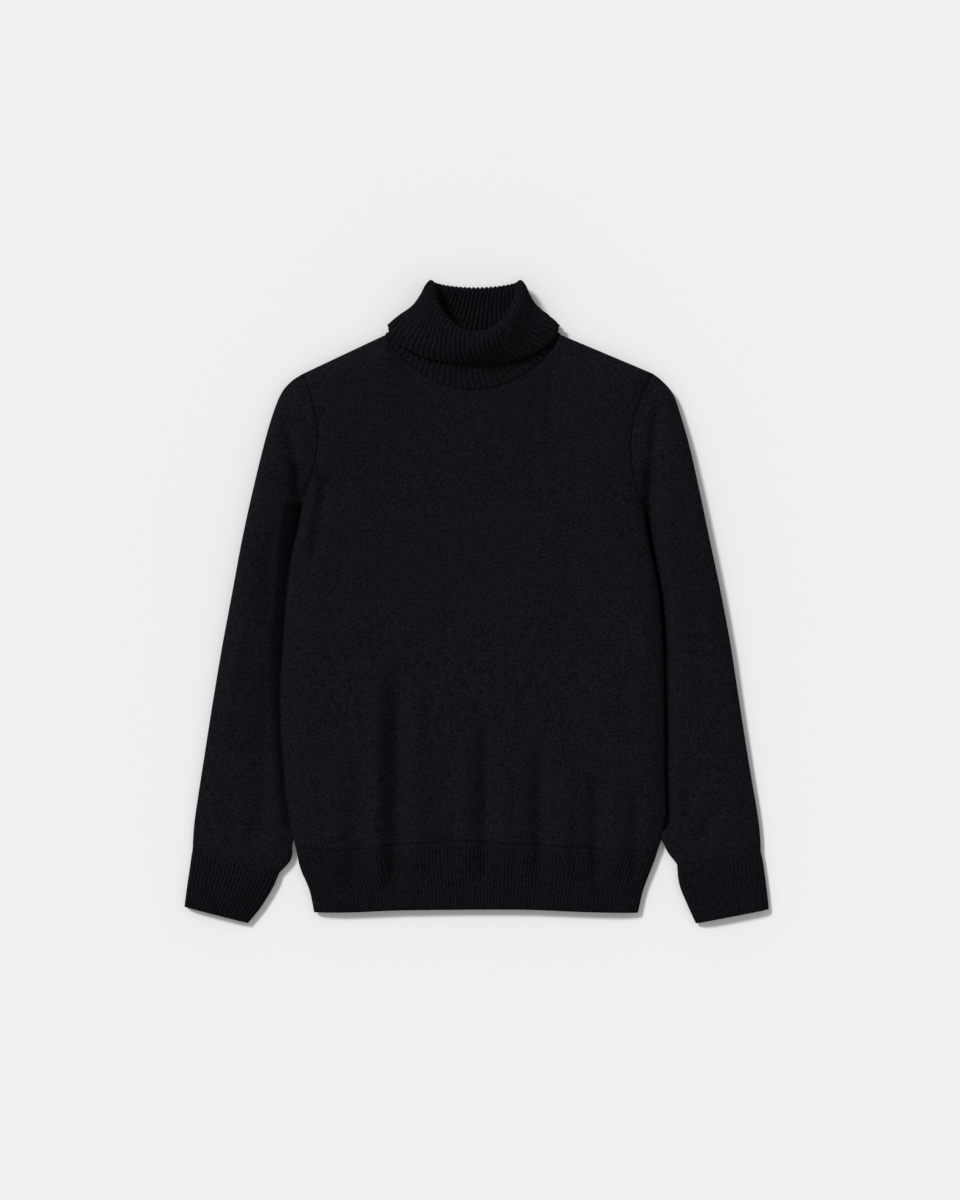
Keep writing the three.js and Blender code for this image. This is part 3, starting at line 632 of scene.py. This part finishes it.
HEM_RIBS = 98
HEM_ROWS = 20
for name in ("front", "back"):
    is_front = name == "front"
    roll = FRONT_ROLL if is_front else BACK_ROLL
    top_row = panel_grids[name][0]
    share = even_shares(top_row[None], False)[0]
    at = np.linspace(0, 1, HEM_RIBS * 6 + 1)
    top = np.stack([np.interp(at, share, top_row[:, k]) for k in range(3)], axis=-1)
    top = top - np.array([0, 0.05, 0])
    up = np.linspace(0, 1, HEM_ROWS)
    sides = []
    for column, x in ((1, -189), (2, 189)):
        corner = top[0] if column == 1 else top[-1]
        y = np.linspace(table_curve(HEM_EDGE, 1, x), corner[1], HEM_ROWS)
        side_x = table_curve(BODY_EDGES, column, y)
        sides.append(np.stack([side_x, y, np.full(HEM_ROWS, SIDE_HEIGHT)], axis=-1))
    left, right = sides
    x_share = (top[:, 0] - top[0, 0]) / (top[-1, 0] - top[0, 0])
    x = left[0, 0] + (right[0, 0] - left[0, 0]) * x_share
    bottom = np.stack([x, table_curve(HEM_EDGE, 1, x), 0 * x], axis=-1)
    grid = edge_patch(bottom, top, left, right, x_share, up)
    flat_level = np.full(grid.shape[:2], RIB_WALL / 2 + 0.6)
    level = front_level(grid[..., 0], grid[..., 1]) if is_front else flat_level
    near = np.minimum(x_share, 1 - x_share)[None] * (right[0, 0] - left[0, 0])
    grid[..., 2] = level - (level - SIDE_HEIGHT) * (1 - roll_turn(near, roll))
    relief = ribs(at[None] + 0 * up[:, None], HEM_RIBS, 0.7) * np.clip((1 - up[:, None]) * 6, 0.1, 1)
    hem = cloth_piece(f"hem_rib_{name}_knit", grid, RIB_WALL, False, relief)
    hem.data.materials.append(RIB_KNIT)
    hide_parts(f"hem_rib_{name}")

# ---------------------------------------------------------------------------
# Linked seams: the chain of loops that joins the sleeves and the collar to the
# body stands up as a narrow welt, and fashioning marks run beside the armholes.


def seam_welt(name, path, width, height):
    """A narrow rounded welt on a path in millimetres, with a crossing stitch every 1.6 mm."""
    step = np.linalg.norm(np.diff(path, axis=0), axis=1)
    gone = np.concatenate([[0], np.cumsum(step)])
    at = np.arange(0, gone[-1], 0.55)
    path = np.stack([np.interp(at, gone, path[:, k]) for k in range(3)], axis=-1)
    tangent = np.gradient(path, axis=0)
    tangent /= np.linalg.norm(tangent, axis=1, keepdims=True)
    flat = np.cross(tangent, np.array([0, 0, 1.0]))
    flat /= np.maximum(np.linalg.norm(flat, axis=1, keepdims=True), 1e-6)
    up = np.cross(flat, tangent)
    around = 8
    angle = np.arange(around) * 2 * math.pi / around
    swell = (1 + 0.28 * np.sin(at * 2 * math.pi / 1.6))[:, None, None]
    grid = (path[:, None] + swell * (np.cos(angle)[None, :, None] * flat[:, None] * width / 2
                                     + np.sin(angle)[None, :, None] * up[:, None] * height / 2))
    rows = len(grid)
    i, j = np.meshgrid(np.arange(rows - 1), np.arange(around), indexing="ij")
    first, second = i * around + j, i * around + (j + 1) % around
    faces = np.stack([first, second, second + around, first + around], axis=-1).reshape(-1, 4).tolist()
    faces += [list(range(around - 1, -1, -1)), list(range((rows - 1) * around, rows * around))]
    mesh = bpy.data.meshes.new(name)
    mesh.from_pydata((grid.reshape(-1, 3) * MM).tolist(), [], faces)
    mesh.polygons.foreach_set("use_smooth", np.ones(len(faces), dtype=bool))
    # With every fabric coordinate at nought the stitches' crest term is nil, so the whole welt gets the
    # grooves' painted shade, at 40 percent of its mottled colour.
    fabric = mesh.uv_layers.new(name="fabric").data
    fabric.foreach_set("uv", np.zeros(len(fabric) * 2, dtype=np.float32))
    mesh.materials.append(RIB_KNIT)
    welt = bpy.data.objects.new(name, mesh)
    scene.collection.objects.link(welt)
    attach(welt, "root")


for side in ("left", "right"):
    ring = sleeve_grids[side][0]
    seam_welt(f"armhole_seam_{side}", ring[2:47] + np.array([0, 0, 1.1]), 1.7, 1.3)
FASHIONING_MARKS = 9
for side, out, first in (("left", -1, 14), ("right", 1, 12)):
    ring = sleeve_grids[side][0]
    for count in range(FASHIONING_MARKS):
        at = ring[first + 2 * count] + np.array([out * 8, 0, 0.9])
        mark = at + np.array([[-1.5, 1.3, 0], [0, -0.8, 0.5], [1.5, 1.3, 0]])
        seam_welt(f"fashioning_{side}_{count + 1}", mark, 1, 0.9)
seam_welt("neckline_seam", neckline[6:235] + np.array([0, 0, 0.9]), 1.5, 1.2)
